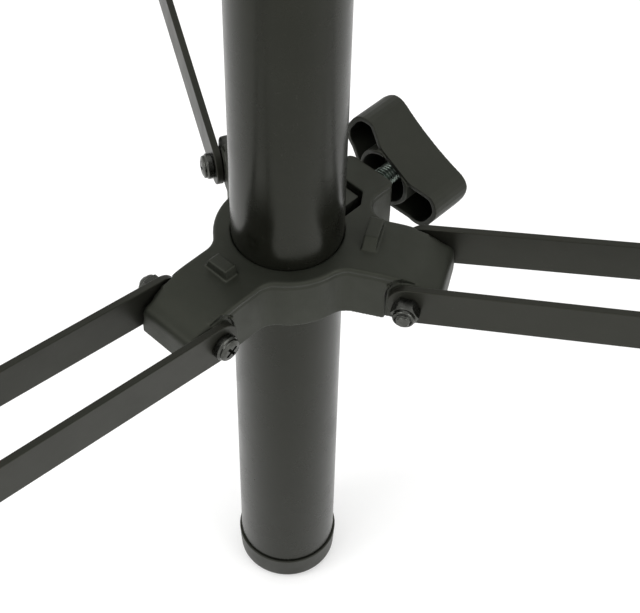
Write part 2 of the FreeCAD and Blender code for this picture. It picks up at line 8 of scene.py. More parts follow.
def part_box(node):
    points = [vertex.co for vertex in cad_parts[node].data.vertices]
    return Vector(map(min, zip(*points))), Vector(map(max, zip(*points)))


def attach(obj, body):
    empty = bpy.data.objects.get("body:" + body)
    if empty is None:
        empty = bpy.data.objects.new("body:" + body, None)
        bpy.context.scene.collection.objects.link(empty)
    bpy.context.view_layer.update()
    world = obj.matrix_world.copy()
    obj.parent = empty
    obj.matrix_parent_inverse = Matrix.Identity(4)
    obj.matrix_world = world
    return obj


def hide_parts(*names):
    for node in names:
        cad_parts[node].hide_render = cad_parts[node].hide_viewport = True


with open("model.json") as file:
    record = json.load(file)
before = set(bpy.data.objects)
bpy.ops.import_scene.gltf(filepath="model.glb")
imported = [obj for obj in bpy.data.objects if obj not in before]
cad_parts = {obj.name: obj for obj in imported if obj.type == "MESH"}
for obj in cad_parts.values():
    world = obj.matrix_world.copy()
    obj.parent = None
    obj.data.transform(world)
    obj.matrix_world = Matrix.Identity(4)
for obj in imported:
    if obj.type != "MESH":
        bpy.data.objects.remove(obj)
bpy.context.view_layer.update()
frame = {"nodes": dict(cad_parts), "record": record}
scene = bpy.context.scene


# --- materials ---
class Nodes:
    """A material with short helpers for its shader nodes."""

    def __init__(self, name):
        self.mat = bpy.data.materials.new(name)
        self.mat.use_nodes = True
        self.tree = self.mat.node_tree
        self.bsdf = self.tree.nodes["Principled BSDF"]
        self.coord = self.add("ShaderNodeTexCoord")

    def add(self, kind, **values):
        node = self.tree.nodes.new(kind)
        for key, value in values.items():
            setattr(node, key, value)
        return node

    def link(self, a, b):
        self.tree.links.new(a, b)

    def noise(self, scale, detail=4.0):
        node = self.add("ShaderNodeTexNoise")
        node.inputs["Scale"].default_value = scale
        node.inputs["Detail"].default_value = detail
        node.inputs["Roughness"].default_value = 0.6
        self.link(self.coord.outputs["Object"], node.inputs["Vector"])
        return node.outputs["Fac"]

    def blend(self, fac, dark, light):
        """Colour that drifts from dark to light over the middle of a noise."""
        node = self.add("ShaderNodeValToRGB")
        for element, place, colour in zip(node.color_ramp.elements, (0.3, 0.7), (dark, light)):
            element.position = place
            element.color = colour
        self.link(fac, node.inputs["Fac"])
        return node.outputs["Color"]

    def levels(self, fac, low, high, start=0.3, end=0.7):
        """Value that runs from low to high as the noise runs from start to end."""
        node = self.add("ShaderNodeMapRange")
        node.inputs["From Min"].default_value = start
        node.inputs["From Max"].default_value = end
        node.inputs["To Min"].default_value = low
        node.inputs["To Max"].default_value = high
        self.link(fac, node.inputs["Value"])
        return node.outputs["Result"]

    def specks(self, fac, ground, fleck):
        """A ground colour with flecks of another where the mask is high."""
        node = self.add("ShaderNodeMix", data_type="RGBA")
        self.link(fac, node.inputs["Factor"])
        self.link(ground, node.inputs["A"])
        node.inputs["B"].default_value = fleck
        return node.outputs["Result"]

    def bump(self, height, distance, strength=1.0, after=None):
        node = self.add("ShaderNodeBump")
        node.inputs["Distance"].default_value = distance
        node.inputs["Strength"].default_value = strength
        self.link(height, node.inputs["Height"])
        if after is not None:
            self.link(after, node.inputs["Normal"])
        return node.outputs["Normal"]

    def finish(self, colour, rough, normal=None):
        self.link(colour, self.bsdf.inputs["Base Color"])
        self.link(rough, self.bsdf.inputs["Roughness"])
        if normal is not None:
            self.link(normal, self.bsdf.inputs["Normal"])
        return self.mat


OLIVE_TINT = (0.97, 1.0, 0.83, 1.0)
WHITE = (1.0, 1.0, 1.0, 1.0)
DUST = (0.02, 0.02, 0.017, 1.0)
PLASTIC_IOR = 1.4


def rgb(red, green, blue):
    return (red, green, blue, 1.0)


def enamel(name, dark, light, roughness, peel, ior):
    """Stove enamel: faint mottling, dust specks and orange peel."""
    n = Nodes(name)
    ground = n.blend(n.noise(38.0, 5.0), dark, light)
    mask = n.levels(n.noise(900.0, 2.0), 0.0, 1.0, 0.68, 0.78)
    n.bsdf.inputs["IOR"].default_value = ior
    n.bsdf.inputs["Specular Tint"].default_value = OLIVE_TINT
    return n.finish(n.specks(mask, ground, DUST), n.levels(n.noise(60.0), *roughness),
                    n.bump(n.noise(420.0, 3.0), 0.00008, peel))


def plastic(name, dark, light, roughness, grain):
    """Moulded plastic or rubber: fine grain over a slight unevenness."""
    n = Nodes(name)
    n.bsdf.inputs["IOR"].default_value = PLASTIC_IOR
    n.bsdf.inputs["Specular Tint"].default_value = OLIVE_TINT
    fine = n.bump(n.noise(2600.0, 3.0), 0.00012, grain)
    return n.finish(n.blend(n.noise(55.0, 5.0), dark, light), n.levels(n.noise(90.0), *roughness),
                    n.bump(n.noise(70.0, 3.0), 0.0002, 0.15, fine))


def metal(name, dark, light, roughness):
    """Plated or plain metal with small tool marks."""
    n = Nodes(name)
    n.bsdf.inputs["Metallic"].default_value = 1.0
    return n.finish(n.blend(n.noise(300.0), dark, light), n.levels(n.noise(500.0), *roughness),
                    n.bump(n.noise(1500.0, 2.0), 0.00003, 0.3))


MATERIALS = {
    "column_enamel": enamel("column_enamel", rgb(0.0046, 0.0048, 0.0034), rgb(0.0072, 0.0075, 0.0056),
                            (0.22, 0.3), 0.1, 1.31),
    "leg_enamel": enamel("leg_enamel", rgb(0.0045, 0.0048, 0.0036), rgb(0.0075, 0.0079, 0.0060),
                         (0.24, 0.34), 0.12, 1.31),
    "bar_enamel": enamel("bar_enamel", rgb(0.0085, 0.0085, 0.0066), rgb(0.0125, 0.0125, 0.0100),
                         (0.36, 0.46), 0.2, 1.33),
    "casting_plastic": plastic("casting_plastic", rgb(0.0080, 0.0090, 0.0066),
                               rgb(0.0120, 0.0132, 0.0100), (0.46, 0.58), 0.3),
    "knob_plastic": plastic("knob_plastic", rgb(0.0068, 0.0074, 0.0058), rgb(0.0105, 0.0112, 0.0088),
                            (0.42, 0.54), 0.25),
    "cap_plastic": plastic("cap_plastic", rgb(0.0030, 0.0033, 0.0026), rgb(0.0050, 0.0054, 0.0042),
                           (0.36, 0.48), 0.15),
    "nylon": plastic("nylon", rgb(0.012, 0.0126, 0.0104), rgb(0.018, 0.019, 0.016), (0.45, 0.58), 0.2),
    "foot_rubber": plastic("foot_rubber", rgb(0.006, 0.0062, 0.0055), rgb(0.010, 0.0103, 0.0094),
                           (0.62, 0.75), 0.4),
    "zinc_steel": metal("zinc_steel", rgb(0.10, 0.125, 0.108), rgb(0.24, 0.28, 0.25), (0.22, 0.36)),
    "black_steel": metal("black_steel", rgb(0.05, 0.051, 0.046), rgb(0.09, 0.092, 0.084), (0.2, 0.34)),
    "brass_insert": metal("brass_insert", rgb(0.30, 0.22, 0.09), rgb(0.45, 0.34, 0.16), (0.25, 0.4)),
}

slots = {s["node"]: s["material_slot"] for s in frame["record"]["subparts"]}
body_of = {n: body for body, nodes in frame["record"]["behaviour"]["bodies"].items() for n in nodes}
for node, obj in frame["nodes"].items():
    obj.data.materials.clear()
    obj.data.materials.append(MATERIALS[slots[node]])


# --- driving dimensions, in millimetres ---
COLUMN_R = 19.8
COLUMN_BORE_R = 18.5
CAP_R = 20.7
CAP_HEIGHT = 13.8
LEG_AZIMUTHS = {"left": 225.0, "right": 345.0, "back": 105.0}
KNOB_AZIMUTH = 45.0
HUB_PIVOT = (64.0, 800.0)
BRACE_PIVOT = (46.5, 190.7)
BRACE_SLOPE = 8.38
BRACE_LENGTH = 340.0
BAR_WIDTH = 16.0
BAR_THICKNESS = 2.6
BAR_EDGE = 0.35
BAR_INNER = 13.5
BAR_INNER_AT_LEG = 16.6
BAR_END_INSET = 1.0
BAR_HOLE_R = 3.08

COLLAR_SCREW_R = 2.5
COLLAR_SCREW_THREAD = 8.0
COLLAR_SCREW_PITCH = 0.8
SCREW_HEAD_R = 4.8
SCREW_HEAD_HEIGHT = 4.2
RECESS_ARM = 2.5
RECESS_HALF = 0.55
RECESS_DEPTH = 2.0
SMALL_NUT = 8.8
NUT_HEIGHT = 6.0
LEG_BOLT_R = 3.0
LEG_BOLT_HEX = 10.0
LEG_BOLT_HEAD = 3.6
WASHER_R = 5.5
WASHER_THICKNESS = 1.05
HUB_BOLT_R = 4.0
HUB_BOLT_HEX = 13.0
HUB_BOLT_HEAD = 5.3
HUB_BOLT_THREAD = 9.0
M8_PITCH = 1.25
CLAMP_BOLT_R = 3.92
CLAMP_BOLT_START = 30.2
CLAMP_BOLT_END = 66.3

COLLAR_TOP = 200.5
COLLAR_BOTTOM = 179.5
BOSS_REACH = 2.0
BOSS_HALF_WIDTH = 10.6
BOSS_CORNERS = (1.4, 3.0)
LUG_HALF_WIDTH = 13.0
POCKET_R = 8.3
POCKET_LINING = 1.6
CROWN_START = 36.0
CROWN_DROP = 4.5
LUG_SHOULDER = 54.2
SHADOW_LINE = (1.2, 3.4)
SHADOW_LINE_DEPTH = 0.3
RIB_TOP = 3.6
UNDERSIDE_DROP = 0.9
NOSE_PASSES = 70
PAD_HALF_WIDTH = 5.8

KNOB_RIM = 50.0
KNOB_HALF_LENGTH = 23.9
KNOB_HALF_WIDTH = 10.0
KNOB_DEPTH = 21.3
KNOB_WALL = 2.0
KNOB_CORNER = 3.0
KNOB_END_ROUND = 8.0
KNOB_DISH = 1.6
KNOB_RING_R = 11.6
KNOB_RING_WALL = 1.5
KNOB_RING_PROUD = 0.8
KNOB_STEM_R = 6.5
KNOB_TURN = 29.0

EAR_OUTER = 18.8
LEG_R = 14.0
LEG_WALL = 1.5
LEG_HEAD_LENGTH = 20.0
FOOT_R = 17.5
FOOT_CENTRE_Z = 13.0
FOOT_GROOVES = 6
FOOT_GROOVE_PITCH = 5.2
POLE_R = 17.5
POLE_WALL = 1.5
POLE_GROOVE_R = 17.0

BAR_SPLAY = math.degrees(math.atan2(BAR_INNER_AT_LEG - BAR_INNER, BRACE_LENGTH))
FASTENER_SEAT = BAR_INNER + BAR_THICKNESS + 0.3
LEG_PIVOT_R = BRACE_PIVOT[0] + BRACE_LENGTH * math.cos(math.radians(BRACE_SLOPE))
LEG_PIVOT_Z = BRACE_PIVOT[1] + BRACE_LENGTH * math.sin(math.radians(BRACE_SLOPE))
LEG_ANGLE = math.degrees(math.atan2(LEG_PIVOT_R - HUB_PIVOT[0], HUB_PIVOT[1] - LEG_PIVOT_Z))
FOOT_CENTRE = (HUB_PIVOT[1] - FOOT_CENTRE_Z) / math.cos(math.radians(LEG_ANGLE))


def span(node):
    """Lowest and highest corner of a CAD node in millimetres."""
    low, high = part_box(node)
    return low * 1000, high * 1000


def turn(axis, degrees):
    return Matrix.Rotation(math.radians(degrees), 4, axis)


def shift(x, y, z):
    return Matrix.Translation((x, y, z))


def leg_place(azimuth):
    """Frame of a leg: origin at its hub pivot, the tube along -Z, the hinge along Y."""
    return turn("Z", azimuth) @ shift(HUB_PIVOT[0], 0, HUB_PIVOT[1]) @ turn("Y", -LEG_ANGLE)


def bar_place(azimuth, side):
    """Frame of a brace bar: origin at its collar pivot, the bar along +X."""
    pivot = turn("Z", azimuth) @ shift(BRACE_PIVOT[0], 0, BRACE_PIVOT[1]) @ turn("Y", -BRACE_SLOPE)
    return pivot @ shift(0, side * BAR_INNER, 0) @ turn("Z", side * BAR_SPLAY)


# --- mesh helpers: shapes are drawn in millimetres about their own axes ---
def rounded(corners, steps=4):
    """Closed outline in which each (x, y, radius) corner is an arc with support points beside it."""
    points = []
    for i, (x, y, radius) in enumerate(corners):
        here = Vector((x, y))
        if radius == 0:
            points.append(here)
            continue
        before = (Vector(corners[i - 1][:2]) - here).normalized()
        after = (Vector(corners[(i + 1) % len(corners)][:2]) - here).normalized()
        half = before.angle(after) / 2
        centre = here + (before + after).normalized() * (radius / math.sin(half))
        start = here + before * (radius / math.tan(half)) - centre
        end = here + after * (radius / math.tan(half)) - centre
        sweep = start.angle_signed(end)
        points.append(centre + start + before * (0.3 * radius))
        for k in range(steps + 1):
            points.append(centre + Matrix.Rotation(-sweep * k / steps, 2) @ start)
        points.append(centre + end + after * (0.3 * radius))
    return [tuple(p) for p in points]


def lathe(profile, segments=96):
    """Closed (radius, height) outline turned about Z."""
    bm = bmesh.new()
    rings = []
    for radius, z in profile:
        count = segments if radius > 0.001 else 1
        steps = [2 * math.pi * i / segments for i in range(count)]
        rings.append([bm.verts.new((radius * math.cos(a), radius * math.sin(a), z)) for a in steps])
    for a, b in zip(rings, rings[1:] + rings[:1]):
        if len(a) == 1 and len(b) == 1:
            continue
        for i in range(segments):
            j = (i + 1) % segments
            corners = [a[i % len(a)], a[j % len(a)], b[j % len(b)], b[i % len(b)]]
            bm.faces.new(list(dict.fromkeys(corners)))
    bmesh.ops.recalc_face_normals(bm, faces=bm.faces)
    return bm


def circle(x, y, radius, count=32):
    return [(x + radius * math.cos(2 * math.pi * i / count), y + radius * math.sin(2 * math.pi * i / count))
            for i in range(count)]


def extruded(outline, height):
    """Prism over a closed (x, y) outline, from z = 0 up."""
    bm = bmesh.new()
    base = bm.faces.new([bm.verts.new((x, y, 0)) for x, y in outline])
    top = bmesh.ops.extrude_face_region(bm, geom=[base])["geom"]
    bmesh.ops.translate(bm, vec=(0, 0, height), verts=[v for v in top if isinstance(v, bmesh.types.BMVert)])
    bmesh.ops.recalc_face_normals(bm, faces=bm.faces)
    return bm


def as_object(name, bm):
    mesh = bpy.data.meshes.new(name)
    bm.to_mesh(mesh)
    bm.free()
    obj = bpy.data.objects.new(name, mesh)
    scene.collection.objects.link(obj)
    return obj


def baked(obj):
    """The object's mesh with its modifiers applied, as a bmesh; the object is removed."""
    mesh = bpy.data.meshes.new_from_object(obj.evaluated_get(bpy.context.evaluated_depsgraph_get()))
    bm = bmesh.new()
    bm.from_mesh(mesh)
    bpy.data.objects.remove(obj)
    bpy.data.meshes.remove(mesh)
    return bm


def combined(first, second, operation):
    """Boolean of two closed shapes, which are used up."""
    a = as_object("work_a", first)
    b = as_object("work_b", second)
    modifier = a.modifiers.new("combine", "BOOLEAN")
    modifier.operation = operation
    modifier.solver = "EXACT"
    modifier.object = b
    bm = baked(a)
    bpy.data.objects.remove(b)
    return bm


def joined(*shapes):
    """One bmesh that holds several closed shapes, which are used up."""
    bm = bmesh.new()
    for shape in shapes:
        mesh = bpy.data.meshes.new("work")
        shape.to_mesh(mesh)
        shape.free()
        bm.from_mesh(mesh)
        bpy.data.meshes.remove(mesh)
    return bm


def moved(bm, matrix):
    bm.transform(matrix)
    return bm


def dress(node, bm, sharp=34.0):
    """Shows a shape, already placed in millimetres, in a CAD node's stead."""
    bmesh.ops.remove_doubles(bm, verts=bm.verts, dist=1e-4)
    bmesh.ops.recalc_face_normals(bm, faces=bm.faces)
    bm.transform(Matrix.Scale(0.001, 4))
    obj = as_object(node + "_skin", bm)
    obj.data.shade_smooth()
    obj.data.set_sharp_from_angle(angle=math.radians(sharp))
    obj.data.materials.append(MATERIALS[slots[node]])
    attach(obj, body_of[node])
    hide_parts(node)


def node_shape(node):
    """A CAD node's mesh in millimetres, closed."""
    bm = bmesh.new()
    bm.from_mesh(frame["nodes"][node].data)
    bmesh.ops.remove_doubles(bm, verts=bm.verts, dist=1e-6)
    return moved(bm, Matrix.Scale(1000, 4))


def moulded(node, voxel, passes, keep, shape=None, refine=None):
    """Fine skin with every edge rounded, as a moulding has, over a CAD node or a shape given for it."""
    obj = as_object("work_mould", node_shape(node) if shape is None else shape)
    remesh = obj.modifiers.new("even", "REMESH")
    remesh.mode = "VOXEL"
    remesh.voxel_size = voxel
    smooth = obj.modifiers.new("round", "SMOOTH")
    smooth.factor = 0.5
    smooth.iterations = passes
    if refine is not None:
        skin = baked(obj)
        refine(skin)
        obj = as_object("work_mould", skin)
    thin = obj.modifiers.new("thin", "DECIMATE")
    thin.ratio = keep
    dress(node, baked(obj), 60.0)


def plate(outline, holes, thickness, edge):
    """Flat bar from closed outlines, its edges rolled over, lying from z = 0 upwards."""
    curve = bpy.data.curves.new("work_plate", "CURVE")
    curve.dimensions = "2D"
    curve.fill_mode = "BOTH"
    curve.extrude = thickness / 2 - edge
    curve.bevel_depth = edge
    curve.bevel_resolution = 2
    curve.offset = -edge
    for points in [outline] + [hole[::-1] for hole in holes]:
        spline = curve.splines.new("POLY")
        spline.points.add(len(points) - 1)
        for point, (x, y) in zip(spline.points, points):
            point.co = (x, y, 0, 1)
        spline.use_cyclic_u = True
    obj = bpy.data.objects.new("work_plate", curve)
    scene.collection.objects.link(obj)
    bm = baked(obj)
    bmesh.ops.remove_doubles(bm, verts=bm.verts, dist=1e-4)
    return moved(bm, shift(0, 0, thickness / 2))


def threaded(length, radius, pitch, segments=40):
    """Rod along +Z with a helical thread and chamfered ends."""
    depth = 0.58 * pitch
    rows = round(length / pitch * 8)
    bm = bmesh.new()
    rings = []
    for k in range(rows + 1):
        z = length * k / rows
        near_end = min(z, length - z)
        ring = []
        for i in range(segments):
            flank = abs(2 * ((z / pitch - i / segments) % 1.0) - 1)
            r = min(radius - depth * min(max((flank - 0.12) / 0.76, 0), 1), radius - depth + near_end)
            angle = 2 * math.pi * i / segments
            ring.append(bm.verts.new((r * math.cos(angle), r * math.sin(angle), z)))
        rings.append(ring)
    for a, b in zip(rings, rings[1:]):
        for i in range(segments):
            j = (i + 1) % segments
            bm.faces.new((a[i], a[j], b[j], b[i]))
    bm.faces.new(rings[0][::-1])
    bm.faces.new(rings[-1])
    return bm


# --- fasteners, standing on z = 0 ---
def cross_recess():
    """Cross-shaped prism that cuts a screw's drive."""
    cross = []
    for quarter in range(4):
        spin = Matrix.Rotation(math.pi / 2 * quarter, 2)
        arm = ((RECESS_ARM, -RECESS_HALF), (RECESS_ARM, RECESS_HALF), (RECESS_HALF, RECESS_HALF))
        cross += [tuple(spin @ Vector(corner)) for corner in arm]
    return extruded(cross, 2 * RECESS_DEPTH)


def pan_head(radius, height):
    """Screw head: a straight skirt, a chamfered rim, a low dome and a deep cross recess."""
    rim = 0.88 * radius
    head = lathe(rounded([(0, 0, 0), (radius, 0, 0.2), (radius, 0.5 * height, 0.3),
                          (rim, 0.62 * height, 0.3), (rim, 0.82 * height, 0.5),
                          (0.62 * rim, 0.97 * height, 1.0), (0, height, 0)]), 64)
    return combined(head, moved(cross_recess(), shift(0, 0, height - RECESS_DEPTH)), "DIFFERENCE")


def hex_head(across_flats, height):
    """Hexagon bolt head with its corners chamfered."""
    corner = across_flats / 2 / math.cos(math.pi / 6)
    chamfer = lathe([(0, 0), (corner, 0), (corner, height - 0.096 * across_flats),
                     (0.47 * across_flats, height), (0, height)], 72)
    return combined(extruded(circle(0, 0, corner, 6), height), chamfer, "INTERSECT")


def lock_nut(across_flats, height, bore):
    """Hexagon nut with a round locking collar on its outer face."""
    body = hex_head(across_flats, 0.76 * height)
    ring_r = 0.44 * across_flats
    collar = lathe(rounded([(0, 0.4, 0), (ring_r, 0.4, 0), (ring_r, height, 0.7), (bore + 0.5, height, 0.3),
                            (bore + 0.5, height - 0.8, 0), (0, height - 0.8, 0)]), 72)
    nut = combined(body, collar, "UNION")
    return combined(nut, lathe([(0, -1), (bore, -1), (bore, height + 1), (0, height + 1)], 48), "DIFFERENCE")


def shank(radius, length, thread, pitch):
    """Bolt shank along +Z whose last stretch is threaded."""
    plain = lathe([(0, 0), (radius, 0), (radius, length - thread), (0, length - thread)], 40)
    return joined(plain, moved(threaded(thread, radius, pitch), shift(0, 0, length - thread)))


def hex_washer_bolt(side):
    """Short pivot bolt of the brace's leg end: spacing washer, shank and hexagon head."""
    outward = turn("X", -90 * side)
    washer = lathe(rounded([(0, 0, 0), (WASHER_R, 0, 0.2), (WASHER_R, WASHER_THICKNESS, 0.2),
                            (0, WASHER_THICKNESS, 0)]), 56)
    under_head = WASHER_THICKNESS + BAR_THICKNESS
    bolt = lathe([(0, 0), (LEG_BOLT_R, 0), (LEG_BOLT_R, under_head + 0.15), (0, under_head + 0.15)], 40)
    head = moved(hex_head(LEG_BOLT_HEX, LEG_BOLT_HEAD), shift(0, 0, under_head))
    return moved(joined(washer, bolt, head), shift(BRACE_LENGTH, side * -WASHER_THICKNESS, 0) @ outward)


def around_legs(make):
    """One copy of a shape at each leg azimuth."""
    return joined(*[moved(make(), turn("Z", azimuth)) for azimuth in LEG_AZIMUTHS.values()])


# --- column and pole ---
def tube(node, outer, wall, edge, segments=160):
    """Drawn tube with its ends broken."""
    low, high = span(node)
    inner = outer - wall
    return lathe(rounded([(inner, low.z, edge), (outer, low.z, edge), (outer, high.z, edge),
                          (inner, high.z, edge)]), segments)


def end_cap():
    """Moulded cap: a rounded base, a slight taper and a plug in the tube."""
    top = span("column_end_cap")[1].z
    return lathe(rounded([(0, 0, 0), (CAP_R - 2.4, 0, 1.4), (CAP_R - 0.6, 2.6, 3.0), (CAP_R, CAP_HEIGHT, 0.5),
                          (COLUMN_BORE_R, CAP_HEIGHT, 0.2), (COLUMN_BORE_R, top, 0.8), (0, top, 0)], 6), 160)


def pole_tube():
    """Tube with a shallow groove that the stop ring sits in."""
    low, high = span("pole_tube")
    ring_low, ring_high = span("pole_stop_ring")
    inner = POLE_R - POLE_WALL
    return lathe(rounded([(inner, low.z, 0.3), (POLE_R, low.z, 0.3), (POLE_R, ring_low.z, 0),
                          (POLE_GROOVE_R, ring_low.z, 0), (POLE_GROOVE_R, ring_high.z, 0),
                          (POLE_R, ring_high.z, 0), (POLE_R, high.z, 0.4), (inner, high.z, 0.4)]), 160)


def stop_ring():
    low, high = span("pole_stop_ring")
    return lathe(rounded([(POLE_GROOVE_R, low.z, 0.2), (high.x, low.z, 0.8), (high.x, high.z, 2.0),
                          (POLE_GROOVE_R, high.z, 0.3)], 6), 128)


def pole_bush():
    """Nylon guide with two bearing bands and a spigot in the tube."""
    low, high = span("pole_bush")
    guide = high.x
    seat = low.z + 22
    spigot = POLE_R - POLE_WALL - 0.08
    return lathe(rounded([(0, low.z, 0), (guide, low.z, 1.2), (guide, low.z + 7, 0.4),
                          (guide - 0.8, low.z + 7.6, 0.3), (guide - 0.8, seat - 7.6, 0.3),
                          (guide, seat - 7, 0.4), (guide, seat, 0.5), (spigot, seat, 0),
                          (spigot, high.z, 1.2), (0, high.z, 0)]), 128)


def pole_cap():
    """Plug with a rounded rim and a shallow dish in its top."""
    low, high = span("pole_cap")
    rim = high.x
    spigot = POLE_R - POLE_WALL
    shoulder = high.z - 4.5
    dish = high.z - 0.8
    return lathe(rounded([(0, low.z, 0), (spigot, low.z, 1.0), (spigot, shoulder, 0), (rim, shoulder, 0.3),
                          (rim, high.z - 1.5, 1.2), (rim - 3.0, high.z, 1.6), (rim - 6.0, high.z, 0.4),
                          (rim - 6.4, dish, 0.4), (0, dish, 0)], 5), 128)


dress("column_tube", tube("column_tube", COLUMN_R, COLUMN_R - COLUMN_BORE_R, 0.35))
dress("column_end_cap", end_cap())
dress("pole_tube", pole_tube())
dress("pole_stop_ring", stop_ring())
dress("pole_bush", pole_bush())
dress("pole_cap", pole_cap())


# --- collar ---
def crown(radius):
    """Height of the collar's top face at a radius: flat, then falling along the lugs."""
    run = max(0.0, radius - CROWN_START)
    return COLLAR_TOP - CROWN_DROP * (run / (LUG_SHOULDER - CROWN_START)) ** 2


def smoothstep(low, high, value):
    """Share from 0 to 1 that eases in and out between two values."""
    t = min(1.0, max(0.0, (value - low) / (high - low)))
    return t * t * (3 - 2 * t)


def pocket_lining(y):
    """One bar pocket's lining: an arc over the bar's round end and an upright wall behind it."""
    pivot_x, pivot_z = BRACE_PIVOT
    outer = POCKET_R + POCKET_LINING
    ring = lathe([(POCKET_R, 0), (outer, 0), (outer, POCKET_LINING), (POCKET_R, POCKET_LINING)], 72)
    ring = moved(ring, shift(pivot_x, y + POCKET_LINING, pivot_z) @ turn("X", 90))
    behind = extruded([(pivot_x - 12, y - 1), (pivot_x - 1, y - 1), (pivot_x - 1, y + 3),
                       (pivot_x - 12, y + 3)], 5.0)
    arc = combined(ring, moved(behind, shift(0, 0, pivot_z)), "INTERSECT")
    wall = extruded([(pivot_x - outer, y), (pivot_x - POCKET_R, y), (pivot_x - POCKET_R, y + POCKET_LINING),
                     (pivot_x - outer, y + POCKET_LINING)], pivot_z + 0.2 - COLLAR_BOTTOM)
    return joined(arc, moved(wall, shift(0, 0, COLLAR_BOTTOM)))


def pocket_linings():
    """Material that brings each bar pocket of the collar close round the bar's end."""
    return [moved(pocket_lining(y), turn("Z", azimuth)) for azimuth in LEG_AZIMUTHS.values()
            for y in (-LUG_HALF_WIDTH, LUG_HALF_WIDTH - POCKET_LINING)]


def shape_rib(v):
    """Shortens the left lug's rib at its far end, which slopes, and lifts its near end a little."""
    if not (25.3 < v.x < 33.9 and -11 < v.y < 5 and v.z > COLLAR_TOP - 0.1):
        return
    lift = min(1.0, max(0.0, (v.z - COLLAR_TOP) / RIB_TOP))
    slide = smoothstep(-11, -8.6, v.y) * max(0.0, 3.2 - v.y) / 11.7
    v.y += slide * (1.3 + 1.0 * lift)
    v.z += 0.5 * lift * (v.y + 8.5) / 11.7


def shape_boss(v):
    """Carries the clamp boss out to its full length and rounds its upright corners."""
    if v.x < 35 or abs(v.y) > 15:
        return
    v.x += BOSS_REACH * smoothstep(35, 40, v.x) * (1 - smoothstep(11, 15, abs(v.y)))
    radius = BOSS_CORNERS[1] if v.y > 0 else BOSS_CORNERS[0]
    beyond = min(radius, max(0.0, abs(v.y) - BOSS_HALF_WIDTH + radius))
    if v.x > 40:
        v.x -= radius - math.sqrt(radius * radius - beyond * beyond)


def cut_shadow_line(v):
    """Presses a shallow line into the collar's side, just under its top edge."""
    start, end = SHADOW_LINE
    radius = math.hypot(v.co.x, v.co.y)
    below = crown(radius) - v.co.z
    if radius > COLUMN_R + 3 and abs(v.normal.z) < 0.5 and start < below < end:
        outward = Vector((v.normal.x, v.normal.y, 0)).normalized()
        v.co -= outward * (SHADOW_LINE_DEPTH * math.sin(math.pi * (below - start) / (end - start)) ** 2)


def collar_details(bm):
    """Shadow line, rib, boss, deeper underside and soft lug noses of the collar."""
    bm.normal_update()
    shapers = [(turn("Z", -LEG_AZIMUTHS["left"]), shape_rib), (turn("Z", -KNOB_AZIMUTH), shape_boss)]
    for v in bm.verts:
        cut_shadow_line(v)
        for to_local, shaper in shapers:
            local = to_local @ v.co
            shaper(local)
            v.co = to_local.inverted() @ local
        if v.co.z < COLLAR_BOTTOM + 3:
            v.co.z -= UNDERSIDE_DROP * (1 - smoothstep(COLLAR_BOTTOM, COLLAR_BOTTOM + 3, v.co.z))
    nose = []
    for v in bm.verts:
        radius = math.hypot(v.co.x, v.co.y)
        if radius > LUG_SHOULDER - 5 and v.co.z > crown(radius) - 5:
            nose.append(v)
    for _ in range(NOSE_PASSES):
        bmesh.ops.smooth_vert(bm, verts=nose, factor=0.5, use_axis_x=True, use_axis_y=True, use_axis_z=True)


moulded("brace_collar", 0.32, 3, 0.45, joined(node_shape("brace_collar"), *pocket_linings()), collar_details)


# --- wing knobs ---
def knob_profile(shrink, start):
    """Knob seen along its thickness: set-back wings, tight outer corners and a dished outer face."""
    half = KNOB_HALF_LENGTH - shrink
    deep = KNOB_DEPTH - shrink
    corner = KNOB_CORNER - 0.6 * shrink
    flat = half - corner
    dish = [(deep - KNOB_DISH * (1 - (k / 6) ** 2), flat * k / 6, 0) for k in range(-5, 6)]
    return rounded([(start, -8.0, 5), (start + 3.5, -17.0, 5), (start + 3.5, -half, 0), (deep, -half, corner)]
                   + dish + [(deep, half, corner), (start + 3.5, half, 0), (start + 3.5, 17.0, 5),
                             (start, 8.0, 5)], 6)


def knob_block(shrink, start):
    """Solid wing with round ends, smaller by a wall on every side where it is shrunk."""
    wide = KNOB_HALF_WIDTH - shrink
    half = KNOB_HALF_LENGTH - shrink
    round_r = KNOB_END_ROUND - shrink
    body = moved(extruded(knob_profile(shrink, start), 2 * wide), shift(0, 0, -wide))
    plan = rounded([(-wide, -half, round_r), (wide, -half, round_r), (wide, half, round_r),
                    (-wide, half, round_r)], 6)
    return combined(body, moved(extruded(plan, 60), shift(-20, 0, 0) @ turn("Y", 90)), "INTERSECT")


def knob(z):
    """Hollow wing knob with a thin ring round the bolt's stem."""
    root = KNOB_DEPTH - KNOB_WALL + 0.5
    bore_end = KNOB_DEPTH - 5
    inner = KNOB_RING_R - KNOB_RING_WALL
    along = turn("Y", 90)
    shell = combined(knob_block(0, 0), knob_block(KNOB_WALL, -4), "DIFFERENCE")
    ring = lathe([(inner, -KNOB_RING_PROUD), (KNOB_RING_R, -KNOB_RING_PROUD), (KNOB_RING_R, root),
                  (inner, root)], 72)
    ring = combined(moved(ring, along), knob_block(0.8, -1.5), "INTERSECT")
    stem = moved(lathe([(0, 7), (KNOB_STEM_R, 7), (KNOB_STEM_R, root), (0, root)], 64), along)
    whole = combined(combined(shell, ring, "UNION"), stem, "UNION")
    bore = moved(lathe([(0, -2), (CLAMP_BOLT_R, -2), (CLAMP_BOLT_R, bore_end), (0, bore_end)], 48), along)
    whole = combined(whole, bore, "DIFFERENCE")
    return moved(whole, turn("Z", KNOB_AZIMUTH) @ shift(KNOB_RIM, 0, z) @ turn("X", KNOB_TURN))


def middle_z(node):
    low, high = span(node)
    return (low.z + high.z) / 2


moulded("collar_knob", 0.25, 2, 0.45, knob(middle_z("collar_knob_bolt")))
moulded("pole_clamp_knob", 0.25, 2, 0.4, knob(middle_z("pole_clamp_bolt")))


